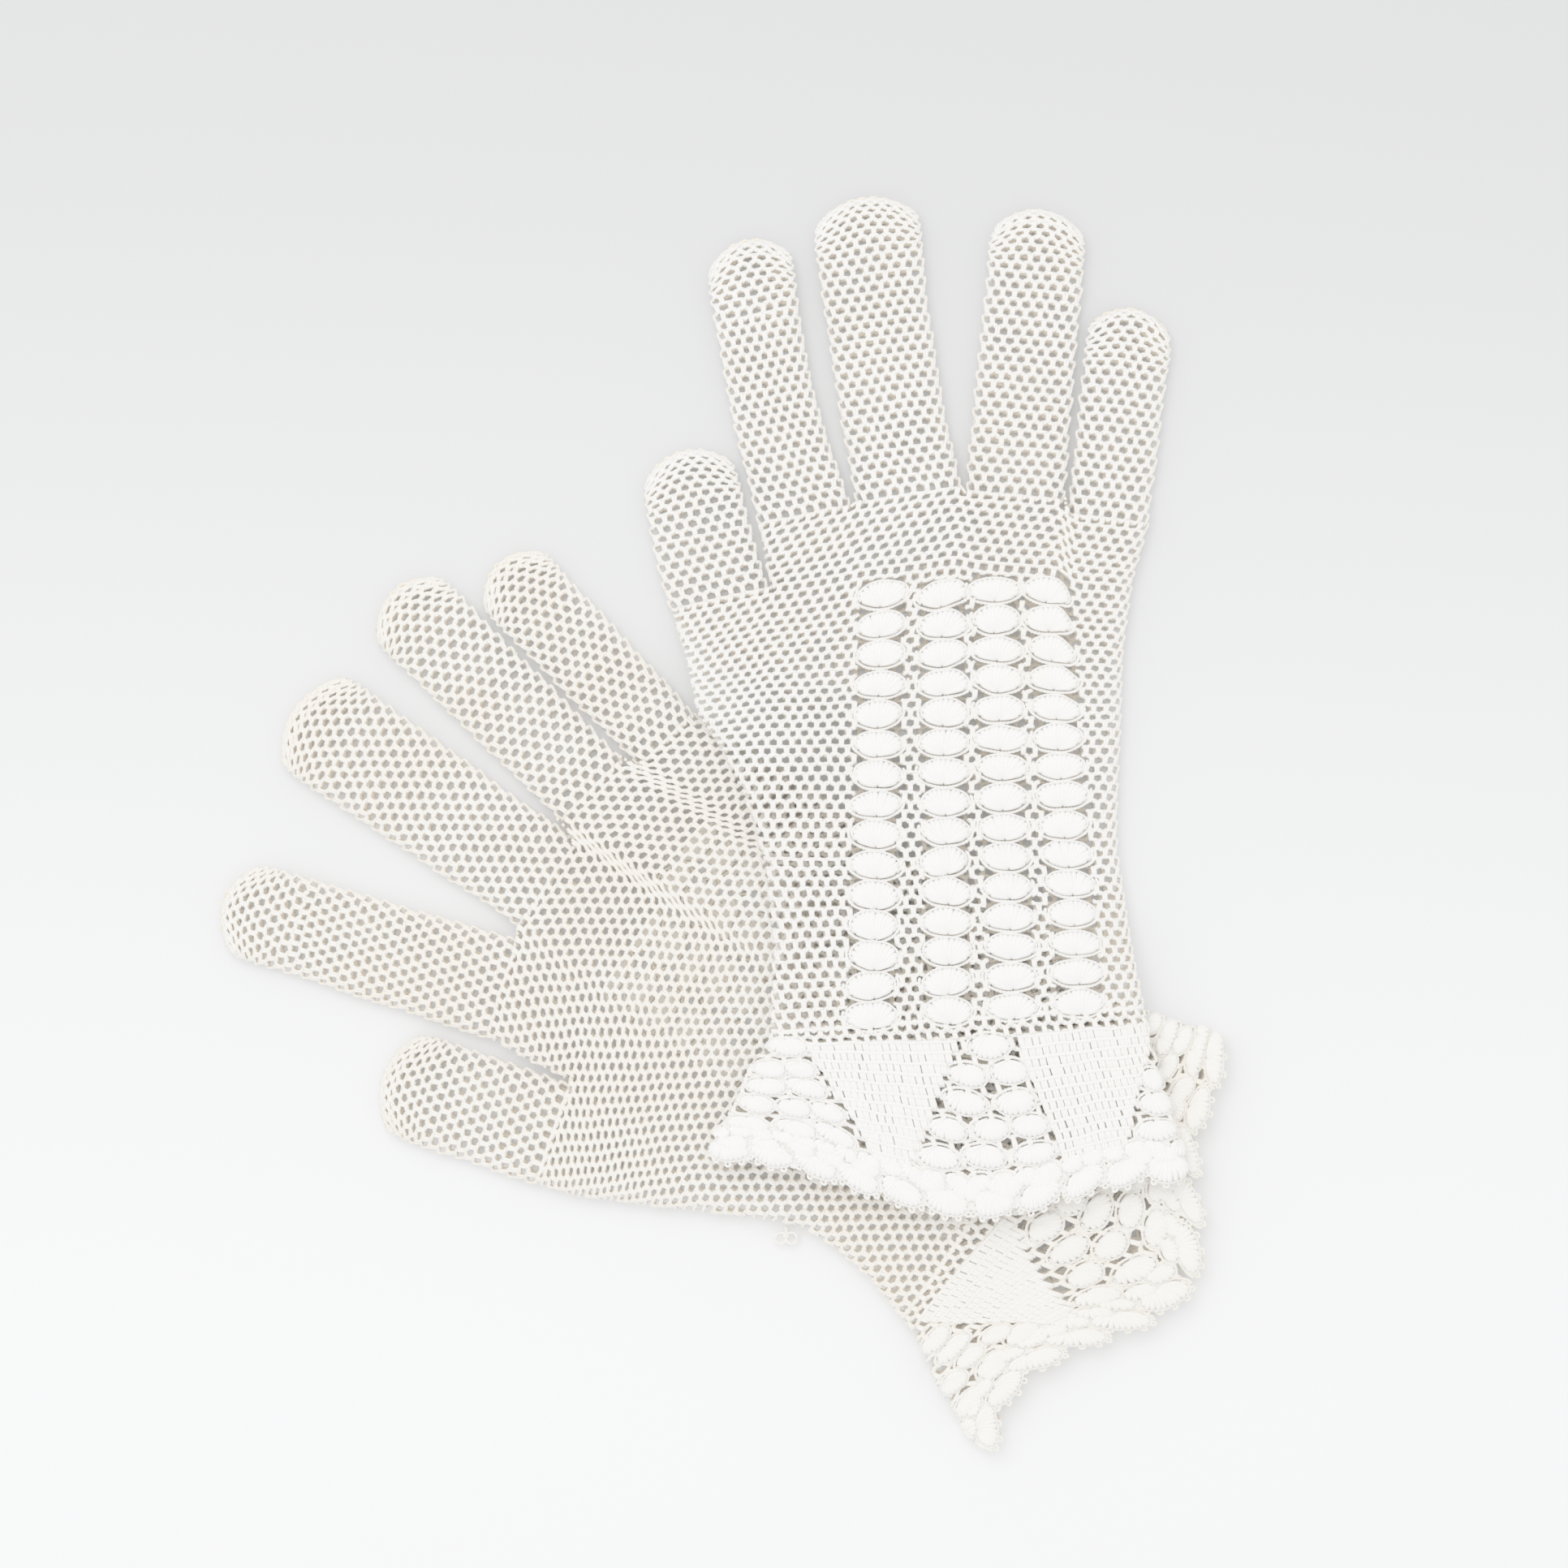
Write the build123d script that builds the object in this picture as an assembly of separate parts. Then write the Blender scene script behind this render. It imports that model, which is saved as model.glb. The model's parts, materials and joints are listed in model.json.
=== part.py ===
from build123d import *
import math
import os

# A pair of crocheted cotton lace gloves, laid out flat as a crossed pair.
# The right glove lies back-up with its fingers towards +Y; the left glove lies under it, palm-up,
# turned LEFT_TURN about +Z. All sizes are in millimetres, +Z is up, and z = 0 is the table.
#
# Each glove is drawn in its own plan: +Y runs from the cuff to the fingers and the thumb is at -X.

FABRIC = 0.8            # wall of every crocheted layer
DIGIT_HEIGHT = 6.4      # outside height of a relaxed, flattened finger
HAND_HEIGHT = 7.0       # outside height of the flattened hand and cuff
RELIEF = 0.4            # how far the fan stitches stand out of the net on the back of the hand
GAP = 0.4               # clearance between bodies that move apart
TIP_ROUND = 11.0        # length of a finger's rounded end
TIP_POWER = 2.4         # superellipse power of that rounded end
TIP_STEPS = (0.35, 0.6, 0.8, 0.92, 0.985)
TIP_FLATNESS = 0.45     # share of its height that a finger keeps at its very end

FAN_PITCH = 7.6         # spacing of the fans along a column
FAN_RADIUS = 5.3        # a fan is about 11 mm across
SCALLOPS = 11           # scallops along the hem on each side of a glove
SCALLOP_DEPTH = 3.2     # how far a scallop stands out of its two valleys
EDGING_WIDTH = 4.0      # the edging's depth above the valleys

LEFT_TURN = 56.4                # turn of the left glove, in degrees
LEFT_PLACE = (4.07, -95.1)      # where the left glove's plan origin lies
LEFT_EDGE = 96.0                # the left hand's little-finger edge, in its own plan
LEFT_BASE = RELIEF              # the left hand lies on its own fans
LIFT = LEFT_BASE + HAND_HEIGHT + 0.3    # height of the right glove where it lies on the left one
RAMP_RUN = 17.0                 # length over which the right glove climbs onto the left one
RAMP_CLEAR = 2.4                # the climb ends this far outside the left hand's edge
REACH = 400.0                   # larger than the whole pair

# Where the middle of the pair's outer box falls on the table before the origin is moved to it.
PAIR_CENTRE = (-0.726, 0.552)

# digit: root centre x, y, heading in degrees from +Y, length, widths at root, middle and end, bow
RIGHT = {
    "digits": {
        "thumb": (-4.1, 57.2, 12.8, 38.0, (25.0, 25.0, 23.4), -0.8),
        "index": (17.0, 78.0, 11.6, 69.8, (24.0, 21.2, 22.6), -2.2),
        "middle": (42.6, 82.9, 8.5, 74.8, (26.4, 26.0, 27.2), -1.0),
        "ring": (68.9, 82.7, -5.2, 71.4, (25.0, 24.4, 23.8), 0.0),
        "little": (91.9, 77.0, -6.5, 52.7, (20.4, 21.2, 21.6), 0.2),
    },
    "thumb_side": [(-12, 40), (-9.3, 28.6), (-3, 19), (4, 3), (7.7, -11.4), (9, -30)],
    "little_side": [(98.5, 62), (96, 45), (94.8, 20), (94.5, -5), (97.5, -27)],
    "wrist": [(8.5, -50.5), (100.5, -44.5)],
    "cuff_thumb_side": [(3, -57), (-1.5, -68)],
    "cuff_little_side": [(104, -57), (108, -70)],
    "hem": [(-8, -79.5), (30, -86), (60, -92), (87, -86), (111, -83)],
    "blocks": {
        "thumbside": [(17, -53.5), (54, -57.5), (38, -90), (31, -90)],
        "littleside": [(69, -54), (101, -47.5), (92, -90), (84, -90)],
    },
    "columns": [((36, 57), (33, -49)), ((51, 57), (52, -49)), ((64, 58), (68, -49)), ((77, 58), (84.5, -46))],
}

LEFT = {
    "digits": {
        "thumb": (-10.9, 52.4, 14.6, 44.4, (26.6, 27.4, 26.6), 0.0),
        "index": (12.3, 82.6, 16.6, 72.6, (26.0, 25.0, 23.6), 0.0),
        "middle": (40.3, 87.6, -1.0, 76.3, (26.2, 27.5, 28.6), 0.0),
        "ring": (65.6, 91.4, -10.9, 69.6, (22.0, 23.0, 23.4), 0.0),
        "little": (86.2, 82.8, -12.4, 60.5, (19.4, 20.6, 21.6), 0.0),
    },
    "thumb_side": [(-20.9, 39), (-11.9, 21), (-2.6, 3.2), (3.7, -10.7), (4.2, -22.3), (2.2, -35.6)],
    "little_side": [(96.2, 60), (LEFT_EDGE, 20), (95.6, -20)],
    "wrist": [(-1.5, -46), (95.5, -50)],
    "cuff_thumb_side": [(-6, -54), (-11.1, -62.5)],
    "cuff_little_side": [(99.5, -64.7), (101.7, -72)],
    "hem": [(-19.1, -81.5), (15, -81.5), (45, -97.5), (75, -80), (99, -81.5)],
    "blocks": {
        "thumbside": [(1, -49.5), (34, -55.5), (19, -90), (11, -90)],
        "littleside": [(60, -55), (94, -52), (82, -90), (74, -90)],
    },
    "columns": [((30, 60), (26, -46)), ((44, 60), (42, -47)), ((57, 61), (58, -47)), ((70, 61), (74, -47))],
}


def prism(plan):
    """The plan, extruded far above and below the gloves."""
    return extrude(Pos(0, 0, -REACH / 2) * plan, REACH)


def flat_blanket(low, high):
    """All of space between two heights."""
    return Pos(0, 0, (low + high) / 2) * Box(REACH, REACH, high - low)


def draped_blanket(low, high):
    """The same, but climbing from the table onto the left glove along that glove's edge."""
    edge = Pos(*LEFT_PLACE) * Rot(0, 0, LEFT_TURN) * Pos(LEFT_EDGE + RAMP_CLEAR, 0)
    profile = Polyline(
        (REACH / 2, low), (RAMP_RUN, low), (0, low + LIFT), (-REACH / 2, low + LIFT),
        (-REACH / 2, high + LIFT), (0, high + LIFT), (RAMP_RUN, high), (REACH / 2, high),
        close=True,
    )
    return edge * Pos(0, REACH / 2, 0) * extrude(Plane.XZ * make_face(profile), REACH)


def digit_place(digit):
    x, y, heading = digit[:3]
    return Location((x, y, 0), (0, 0, heading))


def digit_width(digit, along):
    """Outside width at a share of the length, through the three stated widths."""
    root, middle, end = digit[4]
    return root * (1 - along) * (1 - 2 * along) + middle * 4 * along * (1 - along) + end * along * (2 * along - 1)


def digit_sections(digit, wall):
    """Flattened sections from the root to the tip, wall inside the outer surface."""
    length, bow = digit[3], digit[5]
    round_start = length - TIP_ROUND
    stations = [(round_start * share, 1.0) for share in (0, 0.25, 0.5, 0.75, 1)]
    for step in TIP_STEPS:
        factor = (1 - step ** TIP_POWER) ** (1 / TIP_POWER)
        stations.append((round_start + (TIP_ROUND - wall) * step, factor))
    sections = []
    for y, factor in stations:
        along = y / length
        width = digit_width(digit, along) * factor - 2 * wall
        height = DIGIT_HEIGHT * (TIP_FLATNESS + (1 - TIP_FLATNESS) * factor) - 2 * wall
        x = bow * 4 * along * (1 - along)
        sections.append(Plane.XZ.offset(-y) * Pos(x, wall + height / 2) * SlotOverall(width, height))
    return sections


def make_digit(digit):
    """A closed-ended finger tube, open at its root."""
    outer = loft(digit_sections(digit, 0), ruled=True)
    hollow = loft(digit_sections(digit, FABRIC), ruled=True)
    return digit_place(digit) * (outer - hollow)


def root_corner(digit, side):
    """A corner of the hand at a finger's root, GAP behind the finger."""
    half = digit[4][0] / 2
    corner = digit_place(digit) * Pos(side * half, -GAP)
    return (corner.position.X, corner.position.Y)


def wrist_line(glove, shift):
    """The two ends of the wrist line, moved square to it by shift."""
    start, end = (Vector(*point) for point in glove["wrist"])
    square = (end - start).normalized().rotate(Axis.Z, 90) * shift
    return [((point + square).X, (point + square).Y) for point in (start, end)]


def hand_plan(glove):
    """Plan of the hand, from the wrist line to the finger roots."""
    wrist_thumb, wrist_little = wrist_line(glove, GAP)
    roots = []
    for digit in glove["digits"].values():
        roots += [root_corner(digit, -1), root_corner(digit, 1)]
    points = [wrist_thumb] + glove["thumb_side"][::-1] + roots + glove["little_side"] + [wrist_little]
    return make_face(Polyline(*points, close=True))


def hand_hollow_plan(glove):
    """Plan of the hand's inside, open into every finger and into the cuff."""
    hollow = offset(hand_plan(glove), amount=-FABRIC)
    for digit in glove["digits"].values():
        hollow += digit_place(digit) * Rectangle(digit[4][0] - 2 * FABRIC, 6 * FABRIC)
    start, end = (Vector(*point) for point in glove["wrist"])
    turn = math.degrees(math.atan2(end.Y - start.Y, end.X - start.X))
    middle = (start + end) / 2
    door = Rectangle((end - start).length - 2 * FABRIC, 6 * FABRIC)
    return hollow + Location((middle.X, middle.Y, 0), (0, 0, turn)) * door


def hem_valleys(glove):
    """The points where the scallops meet, evenly spaced along the hem."""
    hem = Spline(*glove["hem"])
    return [hem @ (i / SCALLOPS) for i in range(SCALLOPS + 1)]


def cuff_plan(glove):
    """Plan of the whole cuff, from the wrist line to the scalloped hem."""
    valleys = hem_valleys(glove)
    edges = []
    for start, end in zip(valleys[:-1], valleys[1:]):
        outwards = (end - start).normalized().rotate(Axis.Z, -90) * SCALLOP_DEPTH
        edges.append(ThreePointArc(start, (start + end) / 2 + outwards, end))
    wrist_thumb, wrist_little = glove["wrist"]
    sides = [valleys[-1]] + glove["cuff_little_side"][::-1] + [wrist_little, wrist_thumb]
    sides += glove["cuff_thumb_side"] + [valleys[0]]
    return make_face(edges + Polyline(*sides).edges())


def cuff_hollow_plan(glove):
    """Plan of the cuff's inside, open at the wrist and at the hem."""
    wrist_thumb, wrist_little = wrist_line(glove, GAP)
    valleys = hem_valleys(glove)
    mouth = [valleys[0] - Vector(0, EDGING_WIDTH + REACH / 10), valleys[-1] - Vector(0, EDGING_WIDTH + REACH / 10)]
    thumb_side = [wrist_thumb] + glove["cuff_thumb_side"] + [valleys[0], mouth[0]]
    little_side = [mouth[1], valleys[-1]] + glove["cuff_little_side"][::-1] + [wrist_little]
    inner_thumb = [Vector(*point) + Vector(FABRIC, 0) for point in thumb_side]
    inner_little = [Vector(*point) - Vector(FABRIC, 0) for point in little_side]
    return make_face(Polyline(*inner_thumb, *inner_little, close=True))


def edging_plan(glove):
    """Everything on the hem side of the line where the edging is worked on."""
    line = [Vector(*point) + Vector(0, EDGING_WIDTH) for point in glove["hem"]]
    line[0] -= Vector(20, 0)
    line[-1] += Vector(20, 0)
    top = Spline(*line)
    far = [line[-1], line[-1] - Vector(0, 60), line[0] - Vector(0, 60), line[0]]
    return make_face([top] + Polyline(*far).edges())


def column_plan(top, bottom):
    """A column of round fans that overlap, from the knuckles to the wrist."""
    start, end = Vector(*top), Vector(*bottom)
    fans = int((end - start).length // FAN_PITCH) + 1
    plan = Sketch()
    for i in range(fans):
        middle = start + (end - start) * (i / (fans - 1))
        plan += Pos(middle.X, middle.Y) * Circle(FAN_RADIUS)
    return plan


def make_hand(side, glove, blanket, base, back_up):
    """Back and palm layers of the hand, and the four columns of fans on its back."""
    top = base + HAND_HEIGHT
    middle = base + HAND_HEIGHT / 2
    outer = prism(hand_plan(glove)) & blanket(base, top)
    hollow = prism(hand_hollow_plan(glove)) & blanket(base + FABRIC, top - FABRIC)
    shell = outer - hollow
    upper, lower = ("back", "palm") if back_up else ("palm", "back")
    nodes = {
        f"{side}_{upper}": shell & blanket(middle, top + 1),
        f"{side}_{lower}": shell & blanket(base - 1, middle),
    }
    relief = blanket(top, top + RELIEF) if back_up else blanket(base - RELIEF, base)
    for number, column in enumerate(glove["columns"], start=1):
        strip = prism(column_plan(*column) & hand_plan(glove))
        nodes[f"{side}_fan_column_{number}"] = strip & relief
    return nodes


def make_cuff(side, glove, blanket, base, back_up):
    """Four solid blocks, the lace between them and the scalloped edging."""
    top = base + HAND_HEIGHT
    middle = base + HAND_HEIGHT / 2
    outer = prism(cuff_plan(glove)) & blanket(base, top)
    shell = outer - (prism(cuff_hollow_plan(glove)) & blanket(base + FABRIC, top - FABRIC))
    edging = prism(edging_plan(glove))
    nodes = {f"{side}_cuff_edging": shell & edging}
    band = shell - edging
    blocks = {where: make_face(Polyline(*points, close=True)) for where, points in glove["blocks"].items()}
    thumb_block, little_block = glove["blocks"]["thumbside"], glove["blocks"]["littleside"]
    between = make_face(Polyline(
        (thumb_block[1][0], 0), thumb_block[1], thumb_block[2], (thumb_block[2][0], -REACH / 2),
        (little_block[3][0], -REACH / 2), little_block[3], little_block[0], (little_block[0][0], 0), close=True,
    ))
    upper, lower = ("back", "palm") if back_up else ("palm", "back")
    for layer, space in ((upper, blanket(middle, top + 1)), (lower, blanket(base - 1, middle))):
        for where, plan in blocks.items():
            nodes[f"{side}_cuff_{layer}_block_{where}"] = band & prism(plan) & space
        nodes[f"{side}_cuff_{layer}_lace"] = band & prism(between) & space
    rest = band - prism(between)
    for plan in blocks.values():
        rest -= prism(plan)
    thumb_half = prism(Pos(thumb_block[1][0] - REACH / 2, 0) * Rectangle(REACH, REACH))
    nodes[f"{side}_cuff_thumbside_lace"] = rest & thumb_half
    nodes[f"{side}_cuff_littleside_lace"] = rest - thumb_half
    return nodes


def make_yarn_knot():
    """The fastened-off yarn end: a small knot of two loops beside the left hand's thumb edge."""
    yarn = 0.45
    z = 2.4
    loop = Torus(1.5, yarn)
    knot = Pos(1.4, 0, z) * loop + Pos(-1.4, 0, z) * loop
    stem = Pos(0, 1.7, z) * Rot(90, 0, 0) * Cylinder(yarn, 3.0)
    return Pos(12.4, -101.0) * (knot + stem)


def make_gloves():
    nodes = {}
    left_place = Location((*LEFT_PLACE, 0), (0, 0, LEFT_TURN))
    left = make_hand("left", LEFT, flat_blanket, LEFT_BASE, back_up=False)
    left |= make_cuff("left", LEFT, flat_blanket, LEFT_BASE, back_up=False)
    left |= {f"left_{name}": make_digit(digit) for name, digit in LEFT["digits"].items()}
    nodes |= {name: left_place * solid for name, solid in left.items()}
    nodes["left_yarn_knot"] = make_yarn_knot()
    nodes |= make_hand("right", RIGHT, draped_blanket, 0, back_up=True)
    nodes |= make_cuff("right", RIGHT, draped_blanket, 0, back_up=True)
    nodes |= {f"right_{name}": make_digit(digit) for name, digit in RIGHT["digits"].items()}
    return nodes


os.makedirs("parts", exist_ok=True)
to_origin = Pos(-PAIR_CENTRE[0], -PAIR_CENTRE[1], 0)
pair = {name: to_origin * solid for name, solid in make_gloves().items()}
box = Compound(children=[Compound(solid.solids()) for solid in pair.values()]).bounding_box()
print(f"pair: {box.size.X:.2f} x {box.size.Y:.2f} x {box.size.Z:.2f}, centre {box.center()}")
for name, solid in pair.items():
    export_step(Compound(solid.solids()), f"parts/{name}.step")
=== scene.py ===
import json
import math
import bpy
import numpy as np
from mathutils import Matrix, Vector
from mathutils.bvhtree import BVHTree


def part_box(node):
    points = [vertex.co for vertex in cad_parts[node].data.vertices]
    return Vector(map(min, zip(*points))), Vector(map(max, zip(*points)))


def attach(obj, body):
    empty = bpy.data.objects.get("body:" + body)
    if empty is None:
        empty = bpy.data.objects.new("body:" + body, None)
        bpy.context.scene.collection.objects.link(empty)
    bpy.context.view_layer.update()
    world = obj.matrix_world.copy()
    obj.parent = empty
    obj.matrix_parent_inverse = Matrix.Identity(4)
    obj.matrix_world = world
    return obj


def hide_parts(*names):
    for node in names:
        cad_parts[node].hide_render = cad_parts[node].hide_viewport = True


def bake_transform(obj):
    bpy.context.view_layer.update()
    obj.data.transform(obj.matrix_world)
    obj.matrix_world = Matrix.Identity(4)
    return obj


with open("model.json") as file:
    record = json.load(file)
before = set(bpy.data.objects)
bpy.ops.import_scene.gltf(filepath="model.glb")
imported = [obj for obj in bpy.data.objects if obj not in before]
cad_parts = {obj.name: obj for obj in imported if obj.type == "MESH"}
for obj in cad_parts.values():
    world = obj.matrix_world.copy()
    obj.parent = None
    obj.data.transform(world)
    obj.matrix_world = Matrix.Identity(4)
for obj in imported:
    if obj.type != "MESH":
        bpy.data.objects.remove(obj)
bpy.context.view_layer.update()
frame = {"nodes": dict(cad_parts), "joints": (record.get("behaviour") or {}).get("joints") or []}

# A pair of crocheted cotton lace gloves. Every stitch is real yarn: tubes swept along paths that follow the
# surface of each CAD piece. All lengths below are in millimetres; meshes are scaled to metres when built.

MM = 0.001
TAU = 2 * math.pi
SIDES = 5  # sides of a yarn tube
YARN = 0.42  # radius of one strand of the net
PITCH = 3.1  # spacing of the net's stitches along a row
ROW = 2.3  # spacing of its rows
ZIGZAG = 0.27  # how far a row is pulled up and down between its stitches
TWIST = 0.27  # how far a row's two strands lie off its middle line
PER_STITCH = 5  # points along a row for each of its stitches
ROW_TURN = 1.3  # how far a row's twist is turned from the row before, in radians
LEG_SPREAD = (0.2, 0.36)  # from a stitch's middle out to its two strands, at its foot and its head
SHORTEST = 3  # a kept stretch of a row has more points than this
INSET = 0.72  # from the CAD surface in to the net's middle line
HAND_HEIGHT = 7.0  # outside height of the flattened hand and cuff
FOLD = 4.2  # length of the rounded fold along the sides of the hand
DIGIT_FOLD = 5.0  # the same for a finger
TABLE_STEP = 1.0  # spacing of the stored rows of a sleeve
DIGIT_STEP = 0.5  # the same for a digit
TIP_ROUND = 3.4  # length over which a digit's two layers round off to its tip
TIP_SEAM = 0.55  # and how far from the tip they meet
TIP_ROWS = (8, 38, 62, 86)  # the last rows, as angles up over the rounded tip
BOW = (5.2, 17)  # how far a row bows out towards the tip, and the length over which it grows
ROOT_JOIN = 13  # length over which a digit's height settles from the hand's to its own
FAN_PITCH = 7.5  # spacing of the fans along a column
FAN_SIZE = (12.2, 6.6)  # width and height of a fan
FAN_CLEAR = 5.4  # the net stops this far from the middle of a column of fans
STRAND_AT = np.array([0.02, 0.14, 0.3, 0.48, 0.66, 0.82, 0.94, 1.02])  # stations along a fan's strand
STRAND_TAPER = np.array([0.5, 0.66, 0.8, 0.92, 1.0, 1.0, 0.92, 0.62])  # and its thickness at each
FAN_LIFT = 0.1  # how far a fan lies off the fabric
PUFFY = 1.0  # tone of fans, shells and solid blocks, which are whiter than the net and take less painted shade
BAND = 3.6  # depth of the plain stitches between the hand and the cuff's pattern
BAND_ROWS = (-0.9, 1.4)  # and where its rows lie
FIRST_SHELLS = 5.2  # from the wrist to the first row of shells
BLOCK_ROW = 2.6  # height of a row of the cuff's solid blocks
BLOCK_STITCH = 1.7  # and the width of its stitches
SHELL_STEP = (9.4, 6.3)  # spacing of the shells in the cuff's lace
SHELL = (5.5, 12)  # height and strands of such a shell
GROUND = (3.9, 3.2, -0.35)  # pitch, row height and lift of the open net under the shells
INTO_BLOCK = 1.4  # how far that net reaches into the solid blocks
BLOCK_CLEAR = 0.7  # and how far the shells stay off them
EDGING = 6.2  # depth of the scalloped edging above the scallops' valleys
SMALL_SHELL = (0.56, 4.4, 8)  # the edging's small shells: share of a scallop's width, height, strands
SCALLOP = (0.98, 6.4, 14)  # and its large ones
ROW_POINTS = 161  # points across a row of the hand or the cuff
ACROSS = (-40, 130)  # a stretch of x in a glove's plan that holds all of it
GLOVES = {
    "left": {"turn": 56.4, "index_root": (12.3, 82.6), "deck": {"palm": 1, "back": -1}},
    "right": {"turn": 0.0, "index_root": (17.0, 78.0), "deck": {"back": 1, "palm": -1}},
}
DIGITS = ("thumb", "index", "middle", "ring", "little")
rng = np.random.default_rng(7)


def smooth(x):
    """0 below 0, 1 above 1, with an even curve between."""
    x = np.clip(x, 0, 1)
    return x * x * (3 - 2 * x)


def unit(a):
    return a / np.maximum(np.linalg.norm(a, axis=-1, keepdims=True), 1e-9)


def blurred(values, reach):
    """Values averaged over reach steps to each side; the ends are left off."""
    soft = np.hanning(2 * reach + 3)[1:-1]
    return np.convolve(values, soft / soft.sum(), mode="valid")


def mesh_arrays(nodes):
    """Vertices in mm and edges of several CAD nodes together."""
    verts, edges, base = [], [], 0
    for name in nodes:
        data = frame["nodes"][name].data
        co = np.empty(len(data.vertices) * 3)
        data.vertices.foreach_get("co", co)
        ed = np.empty(len(data.edges) * 2, int)
        data.edges.foreach_get("vertices", ed)
        verts.append(co.reshape(-1, 3) / MM)
        edges.append(ed.reshape(-1, 2) + base)
        base += len(data.vertices)
    return np.concatenate(verts), np.concatenate(edges)


def slices(co, edges, axis, levels, measure):
    """Lowest and highest value of one coordinate where a mesh crosses each level of another."""
    a, b = co[edges[:, 0]], co[edges[:, 1]]
    low, high = np.full(len(levels), np.nan), np.full(len(levels), np.nan)
    for i, level in enumerate(levels):
        hit = (a[:, axis] - level) * (b[:, axis] - level) <= 0
        hit &= np.abs(a[:, axis] - b[:, axis]) > 1e-7
        if hit.any():
            p, q = a[hit], b[hit]
            share = (level - p[:, axis]) / (q[:, axis] - p[:, axis])
            at = p[:, measure] + share * (q[:, measure] - p[:, measure])
            low[i], high[i] = at.min(), at.max()
    return low, high


def new_object(name, data):
    made = bpy.data.objects.new(name, data)
    bpy.context.scene.collection.objects.link(made)
    return made


def corner(points, dx, dy):
    """The point that lies farthest in a direction."""
    return points[np.argmax(points[:, 0] * dx + points[:, 1] * dy)]


class Plan:
    """A glove's own plan: +Y from the cuff to the fingers, thumb at -X."""

    def __init__(self, side):
        spec = GLOVES[side]
        a = math.radians(spec["turn"])
        self.x_axis = np.array([math.cos(a), math.sin(a)])
        self.y_axis = np.array([-math.sin(a), math.cos(a)])
        root = joint_point(f"{side}_index_fold")[:2]
        self.origin = root - spec["index_root"][0] * self.x_axis - spec["index_root"][1] * self.y_axis

    def to_row(self, x, y):
        """From the plan to the frame that both gloves lie in."""
        p = np.asarray(x)[..., None] * self.x_axis + np.asarray(y)[..., None] * self.y_axis
        return p + self.origin

    def from_row(self, co):
        """From that frame to the plan."""
        out = np.array(co, float)
        d = co[..., :2] - self.origin
        out[..., 0] = d @ self.x_axis
        out[..., 1] = d @ self.y_axis
        return out


def joint(name):
    return next(j for j in frame["joints"] if j["name"] == name)


def joint_point(name):
    return np.array(joint(name)["pos_m"]) / MM


class Noise:
    """Slow, smooth, seeded waves over a plan."""

    WAVES = 5

    def __init__(self, scale):
        self.k = rng.normal(0, TAU / scale, (self.WAVES, 2))
        self.phase = rng.uniform(0, TAU, self.WAVES)

    def __call__(self, x, y):
        total = 0
        for (kx, ky), phase in zip(self.k, self.phase):
            total = total + np.sin(kx * x + ky * y + phase)
        return total / math.sqrt(self.WAVES / 2) / 2


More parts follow.
